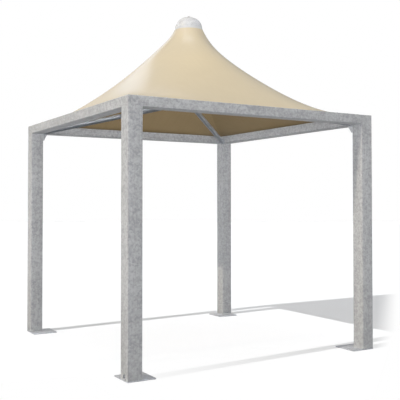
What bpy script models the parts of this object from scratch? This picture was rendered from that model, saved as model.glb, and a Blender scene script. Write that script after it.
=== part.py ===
"""A square garden gazebo: a galvanised steel frame under a peaked, tensioned membrane roof.

Metres, +Z up. The origin is on the ground, under the middle of the roof. The four corners are
named by their side: front is -Y, back is +Y, left is -X and right is +X.
"""

import math

import bmesh
import bpy
from mathutils import Matrix

# Frame
SPAN = 3.000
FRAME_TOP = 2.600
POST_SIDE = 0.150
BEAM_HEIGHT = 0.100
WALL = 0.005
CORNER_RADIUS = 0.010
CORNER_SEGMENTS = 3
GAP = 0.0003

# Base plates and the drain openings at the feet of the posts
PLATE_SIDE = 0.290
PLATE_THICKNESS = 0.012
PLATE_EDGE = 0.0015
DRAIN_WIDTH = 0.040
DRAIN_HEIGHT = 0.040
DRAIN_SEGMENTS = 16

# Struts, their brackets and the hub where they meet
STRUT_DIAMETER = 0.0603
STRUT_WALL = 0.0032
STRUT_SIDES = 24
STRUT_FOOT_HEIGHT = 2.516
STRUT_HEAD_HEIGHT = 2.830
HUB_SIDE = 0.110
HUB_BOTTOM = 2.760
HUB_TOP = 2.900
HUB_WALL = 0.006
BRACKET_THICKNESS = 0.008
BRACKET_DROP = 0.085
BRACKET_KINK_DROP = 0.065
BRACKET_REACH = 0.055
BRACKET_KINK_REACH = 0.022
BRACKET_TIP_REACH = 0.012

# Mast and its head
MAST_DIAMETER = 0.0603
MAST_WALL = 0.004
MAST_FLANGE_RADIUS = 0.050
MAST_FLANGE = 0.008
HEAD_RADIUS = 0.152
HEAD_THICKNESS = 0.008
COLLAR_RADIUS = 0.035
COLLAR_HEIGHT = 0.030
STUD_RADIUS = 0.006
CLAMP_RING_INNER = 0.116
CLAMP_RING_OUTER = 0.150
CLAMP_RING_THICKNESS = 0.006
TURNED_STEPS = 32

# Roof membrane
EDGE_HALF = 1.400
HEM_HALF = 1.440
NECK_RADIUS = 0.163
LIP_RADIUS = 0.118
NECK_HEIGHT = 3.713
MEMBRANE = 0.004
EDGE_HEIGHT = FRAME_TOP + GAP + MEMBRANE
ROOF_SIDES = 64
ROOF_RINGS = 16
RING_CROWDING = 1.5
CLAMP_BAR_INNER = 1.402
CLAMP_BAR_THICKNESS = 0.005

# The level edge of a square sheet: terms of the rise with one, four, eight and twelve folds
SQUARE_TERMS = (0.07576, -0.07385, -0.00180, -0.00007)
# How far the pull along the slope straightens the funnel, and how its middle is trimmed
FUNNEL_STRAIGHTNESS = 1.1794
ROUND_TRIM = (0.0, 0.1324, -0.1434)
CORNER_TRIM = (0.0632, -0.1307, -0.2081)

# Dome cap
CAP_HEIGHT = 0.140
CAP_WALL = 0.004
CAP_HOLE_RADIUS = 0.008
CAP_ARC_STEPS = 10
NUT_RADIUS = 0.014
NUT_HEIGHT = 0.014
NUT_STEPS = 16

SIDES = ("front", "right", "back", "left")
CORNERS = {
    "front_left": (-1, -1),
    "front_right": (1, -1),
    "back_left": (-1, 1),
    "back_right": (1, 1),
}


def clear_scene():
    """Remove every object of the open scene."""
    for item in list(bpy.data.objects):
        bpy.data.objects.remove(item, do_unlink=True)


def new_collection(name):
    """Make a collection in the scene and return it."""
    collection = bpy.data.collections.new(name)
    bpy.context.scene.collection.children.link(collection)
    return collection


def finish(name, colour, roughness, metallic):
    """Make a plain Principled finish and return it."""
    material = bpy.data.materials.new(name)
    material.use_nodes = True
    shader = material.node_tree.nodes["Principled BSDF"]
    shader.inputs["Base Color"].default_value = (*colour, 1.0)
    shader.inputs["Roughness"].default_value = roughness
    shader.inputs["Metallic"].default_value = metallic
    material.diffuse_color = (*colour, 1.0)
    return material


def mesh_from(name, bm, material):
    """Turn a bmesh into a mesh with one finish and return it."""
    bmesh.ops.recalc_face_normals(bm, faces=bm.faces)
    mesh = bpy.data.meshes.new(name)
    bm.to_mesh(mesh)
    bm.free()
    mesh.materials.append(material)
    return mesh


def place(name, data, location=(0.0, 0.0, 0.0), turn=0.0, collection=None):
    """Put a mesh or curve in the scene, turned about Z, and return its object."""
    item = bpy.data.objects.new(name, data)
    item.location = location
    item.rotation_euler = (0.0, 0.0, turn)
    collection.objects.link(item)
    return item


def smooth(item, degrees=30.0):
    """Shade the round faces of an object smooth and keep its edges sharp."""
    item.data.shade_smooth()
    item.data.set_sharp_from_angle(angle=math.radians(degrees))


def bore(bm, axis, wall):
    """Make a solid prism hollow from end to end, along axis 0, 1 or 2."""
    ends = [face for face in bm.faces if abs(face.normal[axis]) > 0.99]
    bmesh.ops.inset_individual(bm, faces=ends, thickness=wall, use_even_offset=True)
    rims = [edge for face in ends for edge in face.edges]
    bmesh.ops.delete(bm, geom=ends, context="FACES_ONLY")
    bmesh.ops.bridge_loops(bm, edges=rims)


def rounded_bar(size, axis, radius, segments):
    """Return a bmesh of a bar whose edges along one axis are rounded."""
    bm = bmesh.new()
    bmesh.ops.create_cube(bm, size=1.0)
    bmesh.ops.scale(bm, vec=size, verts=bm.verts)
    edges = [edge for edge in bm.edges
             if abs(edge.verts[0].co[axis] - edge.verts[1].co[axis]) > 0.5 * size[axis]]
    bmesh.ops.bevel(bm, geom=edges, offset=radius, segments=segments, profile=0.5,
                    affect="EDGES", material=-1)
    bm.normal_update()
    return bm


def mitre(bm):
    """Cut both ends of a bar that lies along X at 45 degrees, so that it fits its neighbours."""
    for vertex in bm.verts:
        vertex.co.x = math.copysign(abs(vertex.co.y) - GAP, vertex.co.x)


def turned(name, profile, material, closed, steps, collection):
    """Turn a profile of (radius, height) points about Z and return the object.

    The profile's outer side runs from top to bottom. A closed profile makes a ring.
    """
    count = len(profile)
    edges = [(index, index + 1) for index in range(count - 1)]
    if closed:
        edges.append((count - 1, 0))
    mesh = bpy.data.meshes.new(name)
    mesh.from_pydata([(radius, 0.0, height) for radius, height in profile], edges, [])
    mesh.materials.append(material)
    item = place(name, mesh, collection=collection)
    screw = item.modifiers.new("turn", "SCREW")
    screw.steps = steps
    screw.render_steps = steps
    screw.use_merge_vertices = True
    screw.merge_threshold = 0.00005
    screw.use_smooth_shade = True
    return item


def make_posts(parts, cutters, steel):
    """Make four hollow posts, each with a drain opening in the foot of its outer side."""
    bottom = PLATE_THICKNESS + GAP
    height = FRAME_TOP - BEAM_HEIGHT - GAP - bottom
    bm = rounded_bar((POST_SIDE, POST_SIDE, height), 2, CORNER_RADIUS, CORNER_SEGMENTS)
    bore(bm, 2, WALL)
    bmesh.ops.translate(bm, vec=(0.0, 0.0, 0.5 * height), verts=bm.verts)
    mesh = mesh_from("post", bm, steel)
    cutter_mesh = drain_cutter_mesh(steel)
    centre = 0.5 * (SPAN - POST_SIDE)
    for corner, (side_x, side_y) in CORNERS.items():
        spot = (side_x * centre, side_y * centre, bottom)
        post = place(f"post_{corner}", mesh.copy(), spot, collection=parts)
        cutter = place(f"drain_{corner}", cutter_mesh,
                       (side_x * 0.5 * SPAN, side_y * centre, bottom), collection=cutters)
        cutter.hide_render = True
        cutter.display_type = "WIRE"
        cut = post.modifiers.new("drain", "BOOLEAN")
        cut.operation = "DIFFERENCE"
        cut.object = cutter


def drain_cutter_mesh(material):
    """Return the mesh that cuts one arched drain opening, across X."""
    radius = 0.5 * DRAIN_WIDTH
    springing = DRAIN_HEIGHT - radius
    bm = bmesh.new()
    bmesh.ops.create_circle(bm, cap_ends=True, segments=DRAIN_SEGMENTS, radius=radius)
    bmesh.ops.bisect_plane(bm, geom=bm.verts[:] + bm.edges[:] + bm.faces[:], dist=1e-6,
                           plane_co=(0.0, 0.0, 0.0), plane_no=(0.0, -1.0, 0.0), clear_outer=True)
    sill = [edge for edge in bm.edges if all(abs(vertex.co.y) < 1e-5 for vertex in edge.verts)]
    grown = bmesh.ops.extrude_edge_only(bm, edges=sill)
    lower = [item for item in grown["geom"] if isinstance(item, bmesh.types.BMVert)]
    bmesh.ops.translate(bm, vec=(0.0, -2.0 * springing, 0.0), verts=lower)
    grown = bmesh.ops.extrude_face_region(bm, geom=bm.faces[:])
    front = [item for item in grown["geom"] if isinstance(item, bmesh.types.BMVert)]
    bmesh.ops.translate(bm, vec=(0.0, 0.0, 4.0 * WALL), verts=front)
    bmesh.ops.translate(bm, vec=(0.0, springing, -2.0 * WALL), verts=bm.verts)
    upright = Matrix.Rotation(math.radians(90.0), 4, "Z") @ Matrix.Rotation(math.radians(90.0), 4, "X")
    bmesh.ops.transform(bm, matrix=upright, verts=bm.verts)
    return mesh_from("drain_cutter", bm, material)


def make_base_plates(parts, steel):
    """Make a square plate under each post, flush with the post's two outer sides."""
    bm = bmesh.new()
    bmesh.ops.create_cube(bm, size=1.0)
    bmesh.ops.scale(bm, vec=(PLATE_SIDE, PLATE_SIDE, PLATE_THICKNESS), verts=bm.verts)
    bmesh.ops.translate(bm, vec=(0.0, 0.0, 0.5 * PLATE_THICKNESS), verts=bm.verts)
    mesh = mesh_from("base_plate", bm, steel)
    centre = 0.5 * (SPAN - PLATE_SIDE)
    for corner, (side_x, side_y) in CORNERS.items():
        plate = place(f"base_plate_{corner}", mesh, (side_x * centre, side_y * centre, 0.0),
                      collection=parts)
        edge = plate.modifiers.new("edge", "BEVEL")
        edge.width = PLATE_EDGE
        edge.segments = 1


def make_beams(parts, steel):
    """Make the four hollow beams of the top frame, mitred where they meet over the posts."""
    centre = 0.5 * (SPAN - POST_SIDE)
    bm = rounded_bar((SPAN, POST_SIDE, BEAM_HEIGHT), 0, CORNER_RADIUS, CORNER_SEGMENTS)
    bore(bm, 0, WALL)
    bmesh.ops.translate(bm, vec=(0.0, -centre, FRAME_TOP - 0.5 * BEAM_HEIGHT), verts=bm.verts)
    mitre(bm)
    mesh = mesh_from("beam", bm, steel)
    for quarter, side in enumerate(SIDES):
        place(f"beam_{side}", mesh, turn=quarter * 0.5 * math.pi, collection=parts)


def make_clamp_bars(parts, steel):
    """Make the flat bars on the beams that hold down the membrane's hem."""
    width = HEM_HALF - CLAMP_BAR_INNER
    bm = bmesh.new()
    bmesh.ops.create_cube(bm, size=1.0)
    bmesh.ops.scale(bm, vec=(SPAN, width, CLAMP_BAR_THICKNESS), verts=bm.verts)
    height = EDGE_HEIGHT + GAP + 0.5 * CLAMP_BAR_THICKNESS
    bmesh.ops.translate(bm, vec=(0.0, 0.5 * width - HEM_HALF, height), verts=bm.verts)
    mitre(bm)
    mesh = mesh_from("clamp_bar", bm, steel)
    for quarter, side in enumerate(SIDES):
        place(f"clamp_bar_{side}", mesh, turn=quarter * 0.5 * math.pi, collection=parts)


def inner_corner():
    """Return how far the inner corner of the top frame is from the middle, along X or Y."""
    return 0.5 * SPAN - POST_SIDE


def strut_run():
    """Return the level distance from the frame's inner corner to the roof's middle line."""
    return inner_corner() * math.sqrt(2.0)


def strut_rise():
    """Return how much a strut rises for each metre along its diagonal."""
    return (STRUT_HEAD_HEIGHT - STRUT_FOOT_HEIGHT) / strut_run()


def make_struts(parts, steel):
    """Make the four tubes that rise from the frame's inner corners to the hub.

    Along its diagonal, a strut's foot is cut to the corner between two beams and its head is
    cut upright to the hub's side.
    """
    rise = strut_rise()
    head = strut_run() - 0.5 * HUB_SIDE - GAP
    stretch = math.sqrt(1.0 + rise * rise)
    bm = bmesh.new()
    bmesh.ops.create_cone(bm, cap_ends=True, segments=STRUT_SIDES, radius1=0.5 * STRUT_DIAMETER,
                          radius2=0.5 * STRUT_DIAMETER, depth=1.0,
                          matrix=Matrix.Rotation(math.radians(90.0), 4, "Y"))
    bm.normal_update()
    bore(bm, 0, STRUT_WALL)
    for vertex in bm.verts:
        foot = abs(vertex.co.y) + 2.0 * GAP
        vertex.co.x = foot if vertex.co.x < 0.0 else head
        vertex.co.z = vertex.co.z * stretch + STRUT_FOOT_HEIGHT + rise * vertex.co.x
    mesh = mesh_from("strut", bm, steel)
    for corner, (side_x, side_y) in CORNERS.items():
        spot = (side_x * inner_corner(), side_y * inner_corner(), 0.0)
        strut = place(f"strut_{corner}", mesh, spot, math.atan2(-side_y, -side_x), parts)
        smooth(strut)


def make_brackets(parts, steel):
    """Make the upright plate under each strut's foot, on the inner corner of its post."""
    rise = strut_rise()
    stretch = math.sqrt(1.0 + rise * rise)
    underside = STRUT_FOOT_HEIGHT - 0.5 * STRUT_DIAMETER * stretch - GAP
    beam_bottom = FRAME_TOP - BEAM_HEIGHT
    back = GAP - CORNER_RADIUS * (math.sqrt(2.0) - 1.0)
    outline = (
        (back, underside + rise * back),
        (back, beam_bottom - BRACKET_DROP),
        (BRACKET_TIP_REACH, beam_bottom - BRACKET_DROP),
        (BRACKET_KINK_REACH, beam_bottom - BRACKET_KINK_DROP),
        (BRACKET_REACH, underside + rise * BRACKET_REACH),
    )
    bm = bmesh.new()
    face = bm.faces.new([bm.verts.new((reach, -0.5 * BRACKET_THICKNESS, height))
                         for reach, height in outline])
    grown = bmesh.ops.extrude_face_region(bm, geom=[face])
    far = [item for item in grown["geom"] if isinstance(item, bmesh.types.BMVert)]
    bmesh.ops.translate(bm, vec=(0.0, BRACKET_THICKNESS, 0.0), verts=far)
    mesh = mesh_from("bracket", bm, steel)
    for corner, (side_x, side_y) in CORNERS.items():
        spot = (side_x * inner_corner(), side_y * inner_corner(), 0.0)
        place(f"bracket_{corner}", mesh, spot, math.atan2(-side_y, -side_x), parts)


def make_hub(parts, steel):
    """Make the square hub, open below, whose sides face the four struts."""
    height = HUB_TOP - HUB_BOTTOM
    bm = rounded_bar((HUB_SIDE, HUB_SIDE, height), 2, CORNER_RADIUS, CORNER_SEGMENTS)
    floor = [face for face in bm.faces if face.normal.z < -0.99]
    bmesh.ops.inset_individual(bm, faces=floor, thickness=HUB_WALL, depth=HUB_WALL - height,
                               use_even_offset=True)
    bmesh.ops.translate(bm, vec=(0.0, 0.0, HUB_BOTTOM + 0.5 * height), verts=bm.verts)
    place("hub", mesh_from("hub", bm, steel), turn=0.25 * math.pi, collection=parts)


def make_mast(parts, steel, zinc):
    """Make the mast on the hub, the disc on its top and the ring that clamps the membrane."""
    foot = HUB_TOP + GAP
    outer = 0.5 * MAST_DIAMETER
    inner = outer - MAST_WALL
    disc_top = NECK_HEIGHT - MEMBRANE - GAP
    disc_bottom = disc_top - HEAD_THICKNESS
    collar_bottom = disc_bottom - COLLAR_HEIGHT
    top = collar_bottom - GAP
    tube = [(inner, top), (outer, top), (outer, foot + MAST_FLANGE),
            (MAST_FLANGE_RADIUS, foot + MAST_FLANGE), (MAST_FLANGE_RADIUS, foot), (inner, foot)]
    turned("mast", tube, steel, True, TURNED_STEPS, parts)

    stud_top = NECK_HEIGHT + CAP_HEIGHT - GAP
    head = [(0.0, stud_top), (STUD_RADIUS, stud_top), (STUD_RADIUS, disc_top),
            (HEAD_RADIUS, disc_top), (HEAD_RADIUS, disc_bottom), (COLLAR_RADIUS, disc_bottom),
            (COLLAR_RADIUS, collar_bottom), (0.0, collar_bottom)]
    turned("mast_head", head, zinc, False, TURNED_STEPS, parts)

    ring_bottom = NECK_HEIGHT + GAP
    ring_top = ring_bottom + CLAMP_RING_THICKNESS
    ring = [(CLAMP_RING_INNER, ring_top), (CLAMP_RING_OUTER, ring_top),
            (CLAMP_RING_OUTER, ring_bottom), (CLAMP_RING_INNER, ring_bottom)]
    turned("neck_clamp_ring", ring, zinc, True, TURNED_STEPS, parts)


def square_rise(distance, azimuth):
    """Return the rise of an evenly pulled sheet with a level square edge.

    The distance from the middle is measured in half widths of the square.
    """
    rise = -math.log(distance)
    for fold, term in enumerate(SQUARE_TERMS):
        rise += term * distance ** (4 * fold) * math.cos(4 * fold * azimuth)
    return rise


def roof_height(radius, azimuth):
    """Return the height of the membrane's upper face."""
    level = square_rise(radius / EDGE_HALF, azimuth) / square_rise(NECK_RADIUS / EDGE_HALF, 0.0)
    funnel = math.expm1(-FUNNEL_STRAIGHTNESS * level) / math.expm1(-FUNNEL_STRAIGHTNESS)
    slide = 1.0 - 2.0 * level
    fold = math.cos(4.0 * azimuth)
    trim = sum((round_term + corner_term * fold) * slide ** power
               for power, (round_term, corner_term) in enumerate(zip(ROUND_TRIM, CORNER_TRIM)))
    share = funnel + level * (1.0 - level) * trim
    return EDGE_HEIGHT + (NECK_HEIGHT - EDGE_HEIGHT) * share


def square_radius(half, azimuth):
    """Return the distance from the middle to the edge of a square, at an azimuth."""
    return half / max(abs(math.cos(azimuth)), abs(math.sin(azimuth)))


def roof_ring(number):
    """Return a function that gives the radius and height of one ring at an azimuth."""
    share = 1.0 - number / ROOF_RINGS
    spread = share ** RING_CROWDING

    def at(azimuth):
        if number < 0:
            return square_radius(HEM_HALF, azimuth), EDGE_HEIGHT
        if number == 0:
            return square_radius(EDGE_HALF, azimuth), EDGE_HEIGHT
        if number > ROOF_RINGS:
            return LIP_RADIUS, NECK_HEIGHT
        if number == ROOF_RINGS:
            return NECK_RADIUS, NECK_HEIGHT
        edge = square_radius(EDGE_HALF, azimuth)
        radius = NECK_RADIUS + (edge - NECK_RADIUS) * spread
        return radius, roof_height(radius, azimuth)

    return at


def make_membrane(parts, fabric):
    """Make the roof membrane, from its hem on the beams to the lip round its neck."""
    bm = bmesh.new()
    bmesh.ops.create_circle(bm, segments=ROOF_SIDES, radius=HEM_HALF)
    loop_verts = bm.verts[:]
    loop_edges = bm.edges[:]
    for number in range(-1, ROOF_RINGS + 2):
        if number >= 0:
            grown = bmesh.ops.extrude_edge_only(bm, edges=loop_edges)["geom"]
            loop_verts = [item for item in grown if isinstance(item, bmesh.types.BMVert)]
            new_verts = set(loop_verts)
            loop_edges = [item for item in grown if isinstance(item, bmesh.types.BMEdge)
                          and item.verts[0] in new_verts and item.verts[1] in new_verts]
        at = roof_ring(number)
        for vertex in loop_verts:
            azimuth = math.atan2(vertex.co.y, vertex.co.x)
            radius, height = at(azimuth)
            vertex.co = (radius * math.cos(azimuth), radius * math.sin(azimuth), height)
    bmesh.ops.recalc_face_normals(bm, faces=bm.faces)
    if sum(face.normal.z for face in bm.faces) < 0.0:
        bmesh.ops.reverse_faces(bm, faces=bm.faces)
    mesh = bpy.data.meshes.new("canopy_membrane")
    bm.to_mesh(mesh)
    bm.free()
    mesh.materials.append(fabric)
    item = place("canopy_membrane", mesh, collection=parts)
    smooth(item, 40.0)
    shell = item.modifiers.new("thickness", "SOLIDIFY")
    shell.thickness = MEMBRANE
    shell.offset = -1.0
    shell.use_even_offset = True


def make_cap(parts, plastic, zinc):
    """Make the dome cap that covers the neck, and the nut on its top."""
    rim = NECK_HEIGHT + GAP
    height = CAP_HEIGHT - GAP
    inner_radius = NECK_RADIUS - CAP_WALL
    inner_height = height - CAP_WALL
    start = math.asin(CAP_HOLE_RADIUS / NECK_RADIUS)
    angles = [start + (0.5 * math.pi - start) * step / CAP_ARC_STEPS
              for step in range(CAP_ARC_STEPS + 1)]
    outer = [(NECK_RADIUS * math.sin(angle), rim + height * math.cos(angle)) for angle in angles]
    inner = [(inner_radius * math.sin(angle), rim + inner_height * math.cos(angle))
             for angle in reversed(angles)]
    turned("dome_cap", outer + inner, plastic, True, TURNED_STEPS, parts)

    seat = NECK_HEIGHT + CAP_HEIGHT + GAP
    nut = [(0.0, seat + NUT_HEIGHT), (0.6 * NUT_RADIUS, seat + 0.85 * NUT_HEIGHT),
           (NUT_RADIUS, seat + 0.4 * NUT_HEIGHT), (NUT_RADIUS, seat), (0.0, seat)]
    turned("cap_nut", nut, zinc, False, NUT_STEPS, parts)


def main():
    """Build the whole gazebo."""
    clear_scene()
    parts = new_collection("garden_gazebo")
    cutters = new_collection("cutters")
    steel = finish("galvanised_steel", (0.50, 0.51, 0.52), 0.55, 0.6)
    tube = finish("galvanised_tube", (0.56, 0.58, 0.61), 0.4, 0.7)
    zinc = finish("zinc_fitting", (0.55, 0.56, 0.58), 0.35, 0.8)
    fabric = finish("beige_membrane", (0.73, 0.63, 0.46), 0.45, 0.0)
    plastic = finish("white_cap_plastic", (0.85, 0.85, 0.83), 0.2, 0.0)
    make_posts(parts, cutters, steel)
    make_base_plates(parts, steel)
    make_beams(parts, steel)
    make_brackets(parts, steel)
    make_struts(parts, tube)
    make_hub(parts, tube)
    make_mast(parts, tube, zinc)
    make_clamp_bars(parts, steel)
    make_membrane(parts, fabric)
    make_cap(parts, plastic, zinc)


main()
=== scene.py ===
"""The looks of a garden gazebo: a galvanised box-section frame under a stretched, peaked roof.

Metres, +Z up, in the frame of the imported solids: the origin is on the ground under the middle of
the roof, the front is -Y, the back +Y, the left -X and the right +X.
"""

import logging
import math
from collections.abc import Callable, Iterable, Sequence
from dataclasses import dataclass
from enum import Enum
from functools import cache
from typing import ClassVar

import bmesh
import bpy
from bmesh.types import BMEdge, BMesh, BMLayerItem, BMVert
from bpy.types import Material, Mesh, Node, NodeSocket, Object, World
from mathutils import Matrix, Vector


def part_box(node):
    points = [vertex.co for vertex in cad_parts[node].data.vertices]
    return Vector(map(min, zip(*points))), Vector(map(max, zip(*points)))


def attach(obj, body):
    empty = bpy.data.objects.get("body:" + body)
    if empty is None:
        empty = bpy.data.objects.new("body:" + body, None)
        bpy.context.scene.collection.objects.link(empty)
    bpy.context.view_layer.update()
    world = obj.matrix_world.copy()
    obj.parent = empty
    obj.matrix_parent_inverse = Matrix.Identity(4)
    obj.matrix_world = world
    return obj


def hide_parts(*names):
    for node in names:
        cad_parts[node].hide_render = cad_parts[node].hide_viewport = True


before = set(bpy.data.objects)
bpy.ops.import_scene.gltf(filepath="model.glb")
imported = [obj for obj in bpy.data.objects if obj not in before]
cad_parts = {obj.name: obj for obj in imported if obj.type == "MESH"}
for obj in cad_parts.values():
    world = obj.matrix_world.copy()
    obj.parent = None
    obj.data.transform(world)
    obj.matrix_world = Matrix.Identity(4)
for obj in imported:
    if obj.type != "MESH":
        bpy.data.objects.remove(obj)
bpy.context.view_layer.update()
BODY = "root"
LOG = logging.getLogger("gazebo")

Colour = tuple[float, float, float]
Point = tuple[float, float, float]
Span = tuple[float, float]
Profile = Sequence[tuple[float, float]]
Run = tuple[list[Vector], float]
BLACK: Colour = (0.0, 0.0, 0.0)
WHITE: Colour = (1.0, 1.0, 1.0)


@cache
def cad_corners(node: str) -> tuple[tuple[float, ...], ...]:
    """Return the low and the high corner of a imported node, read once."""
    return tuple(tuple(corner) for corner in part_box(node))


def cad_box(node: str) -> tuple[Vector, Vector]:
    """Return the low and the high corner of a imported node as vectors."""
    low, high = cad_corners(node)
    return Vector(low), Vector(high)


class Axis(Enum):
    """A direction of the frame, by its place in a vector."""

    X = 0
    Y = 1
    Z = 2


class Slot(Enum):
    """A material slot, by its name."""

    STEEL = "galvanised_steel"
    TUBE = "galvanised_tube"
    ZINC = "zinc_fitting"
    FABRIC = "membrane"
    PLASTIC = "cap_plastic"


class Place(Enum):
    """A side or a corner of the square, whose words are in the names of the pieces."""

    @property
    def label(self) -> str:
        """The place's words."""
        return self.name.lower()


class Side(Place):
    """A side of the square, by its quarter turns from the front."""

    FRONT = 0
    RIGHT = 1
    BACK = 2
    LEFT = 3

    @property
    def turn(self) -> Matrix:
        """The turn about Z that brings a piece from the front to this side."""
        return Matrix.Rotation(self.value * 0.5 * math.pi, 4, "Z")

    @property
    def along(self) -> Axis:
        """The axis that a bar on this side lies along."""
        return Axis.X if self in (Side.FRONT, Side.BACK) else Axis.Y


class Corner(Place):
    """A corner of the square, by the signs of its X and Y."""

    FRONT_LEFT = (-1, -1)
    FRONT_RIGHT = (1, -1)
    BACK_LEFT = (-1, 1)
    BACK_RIGHT = (1, 1)

    def inward(self, reach: float) -> Matrix:
        """Return the placing of a piece that points from this corner to the middle.

        Args:
            reach: How far the piece's own origin is from the middle, along X and along Y.

        Returns:
            A matrix whose X axis runs along the diagonal, towards the middle.
        """
        side_x, side_y = self.value
        turn = Matrix.Rotation(math.atan2(-side_y, -side_x), 4, "Z")
        return Matrix.Translation((side_x * reach, side_y * reach, 0.0)) @ turn


@dataclass(frozen=True)
class Signal:
    """A number that changes over a surface, on which sums can be written."""

    graph: "Graph"
    socket: NodeSocket

    def worked(self, operation: str, first: "Signal | float", second: "Signal | float") -> "Signal":
        """Return the result of one Math node.

        Args:
            operation: The Math node's operation.
            first: The left-hand value.
            second: The right-hand value.

        Returns:
            The result.
        """
        node = self.graph.node("Math", {"operation": operation}, {0: first, 1: second})
        return Signal(self.graph, node.outputs[0])

    def __add__(self, other: "Signal | float") -> "Signal":
        """Add."""
        return self.worked("ADD", self, other)

    __radd__ = __add__

    def __sub__(self, other: "Signal | float") -> "Signal":
        """Subtract."""
        return self.worked("SUBTRACT", self, other)

    def __rsub__(self, other: "Signal | float") -> "Signal":
        """Subtract this from a value."""
        return self.worked("SUBTRACT", other, self)

    def __mul__(self, other: "Signal | float") -> "Signal":
        """Multiply."""
        return self.worked("MULTIPLY", self, other)

    __rmul__ = __mul__

    def __abs__(self) -> "Signal":
        """Drop the sign."""
        return self.worked("ABSOLUTE", self, 0.0)

    def wave(self, length: float) -> "Signal":
        """Return a sine wave of this value, with that wavelength."""
        return self.worked("SINE", self * (2.0 * math.pi / length), 0.0)

    def over(self, span: Span) -> "Signal":
        """Return a value that is the span's first number where this is 0, and its second at 1."""
        return span[0] + (span[1] - span[0]) * self

    def past(self, edge: float, blur: float) -> "Signal":
        """Return 0 below an edge and 1 above it, with a short rise on both sides of it."""
        return self.step(edge - blur, edge + blur)

    def step(self, low: float, high: float) -> "Signal":
        """Return 0 below low and 1 above high, with a smooth rise between them.

        Args:
            low: Where the rise starts.
            high: Where it ends.

        Returns:
            The share, from 0 to 1.
        """
        node = self.graph.node("MapRange", {"interpolation_type": "SMOOTHSTEP"},
                               {"Value": self, "From Min": low, "From Max": high})
        return Signal(self.graph, node.outputs["Result"])


@dataclass(frozen=True)
class Lumps:
    """A soft noise: the width of its lumps, its finer layers and their strength, and its twist."""

    size: float
    detail: float = 2.0
    roughness: float = 0.5
    twist: float = 0.0


class Graph:
    """The nodes of a material or of the sky, with a method for each kind that is used often."""

    def __init__(self, owner: Material | World) -> None:
        """Start with no nodes.

        Args:
            owner: The new material, or the world.
        """
        owner.use_nodes = True
        self.owner = owner
        self.tree = owner.node_tree
        self.tree.nodes.clear()

    def node(self, kind: str, settings: dict | None = None, sockets: dict | None = None) -> Node:
        """Add a node, with its settings first and its sockets after them.

        Args:
            kind: The node's type, without the word that all of them start with.
            settings: Values of the node's own properties.
            sockets: A value or a link for each named or numbered input.

        Returns:
            The new node.
        """
        made = self.tree.nodes.new(f"ShaderNode{kind}")
        for name, value in (settings or {}).items():
            setattr(made, name, value)
        for name, value in (sockets or {}).items():
            self.feed(made.inputs[name], value)
        return made

    def feed(self, socket: NodeSocket, value: object) -> None:
        """Link an input to a signal or a socket, or set its value.

        Args:
            socket: The input.
            value: A signal, a socket, a colour or a number.
        """
        if isinstance(value, Signal):
            value = value.socket
        if isinstance(value, NodeSocket):
            self.tree.links.new(value, socket)
        elif socket.type == "RGBA":
            socket.default_value = (*value, 1.0)
        else:
            socket.default_value = value

    def place(self) -> NodeSocket:
        """Return the object coordinates."""
        return self.node("TexCoord").outputs["Object"]

    def cloth_place(self) -> NodeSocket:
        """Return the piece's own map of its cloth, in metres."""
        return self.node("UVMap", {"uv_map": Canopy.CLOTH_MAP}).outputs["UV"]

    def parts(self, vector: NodeSocket) -> tuple[Signal, Signal, Signal]:
        """Return the three numbers of a vector."""
        split = self.node("SeparateXYZ", sockets={0: vector})
        return tuple(Signal(self, output) for output in split.outputs)

    def squeezed(self, vector: NodeSocket, factors: Sequence[float]) -> NodeSocket:
        """Return a vector with each of its three numbers multiplied."""
        return self.node("Mapping", sockets={"Vector": vector, "Scale": factors}).outputs[0]

    def noise_node(self, vector: NodeSocket, lumps: Lumps) -> Node:
        """Add a soft noise.

        Args:
            vector: Where the noise is read.
            lumps: The kind of noise.

        Returns:
            The noise's node.
        """
        return self.node("TexNoise", sockets={
            "Vector": vector, "Scale": 1.0 / lumps.size, "Detail": lumps.detail,
            "Roughness": lumps.roughness, "Distortion": lumps.twist})

    def noise(self, vector: NodeSocket, lumps: Lumps) -> Signal:
        """Return a soft noise as one number, about 0.5."""
        return Signal(self, self.noise_node(vector, lumps).outputs[0])

    def warped(self, vector: NodeSocket, lumps: Lumps, reach: float) -> NodeSocket:
        """Return a vector that a soft noise moves about, up to that reach.

        Args:
            vector: The vector.
            lumps: The kind of noise.
            reach: The longest move.

        Returns:
            The moved vector.
        """
        shift = self.noise_node(vector, lumps).outputs["Color"]
        return self.node("VectorMath", {"operation": "MULTIPLY_ADD"},
                         {0: shift, 1: (reach, reach, reach), 2: vector}).outputs[0]

    def crystals(self, vector: NodeSocket, size: float) -> Signal:
        """Return one random number for each crystal of that width."""
        cells = self.node("TexVoronoi", sockets={"Vector": vector, "Scale": 1.0 / size})
        return self.parts(cells.outputs["Color"])[0]

    def colour(self, share: Signal, first: Colour | NodeSocket, second: Colour) -> NodeSocket:
        """Return a colour between two, the second where the share is 1."""
        mix = self.node("Mix", {"data_type": "RGBA"}, {0: share, 6: first, 7: second})
        return mix.outputs[2]

    def relief(self, height: Signal, depth: float, below: NodeSocket | None = None) -> NodeSocket:
        """Return a normal bent by a relief.

        Args:
            height: The relief, from 0 to 1.
            depth: The height of the relief, in metres.
            below: The normal that it is laid over.

        Returns:
            The bent normal.
        """
        sockets = {"Height": height, "Distance": depth, "Strength": 1.0}
        if below is not None:
            sockets["Normal"] = below
        return self.node("Bump", sockets=sockets).outputs["Normal"]

    def finish(self, **inputs: object) -> Material:
        """Close the material with one shader.

        Args:
            inputs: A value or a link for each of the shader's inputs, with _ for a space.

        Returns:
            The finished material.
        """
        sockets = {name.replace("_", " "): value for name, value in inputs.items()}
        shader = self.node("BsdfPrincipled", sockets=sockets)
        self.node("OutputMaterial", sockets={"Surface": shader.outputs[0]})
        return self.owner


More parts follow.
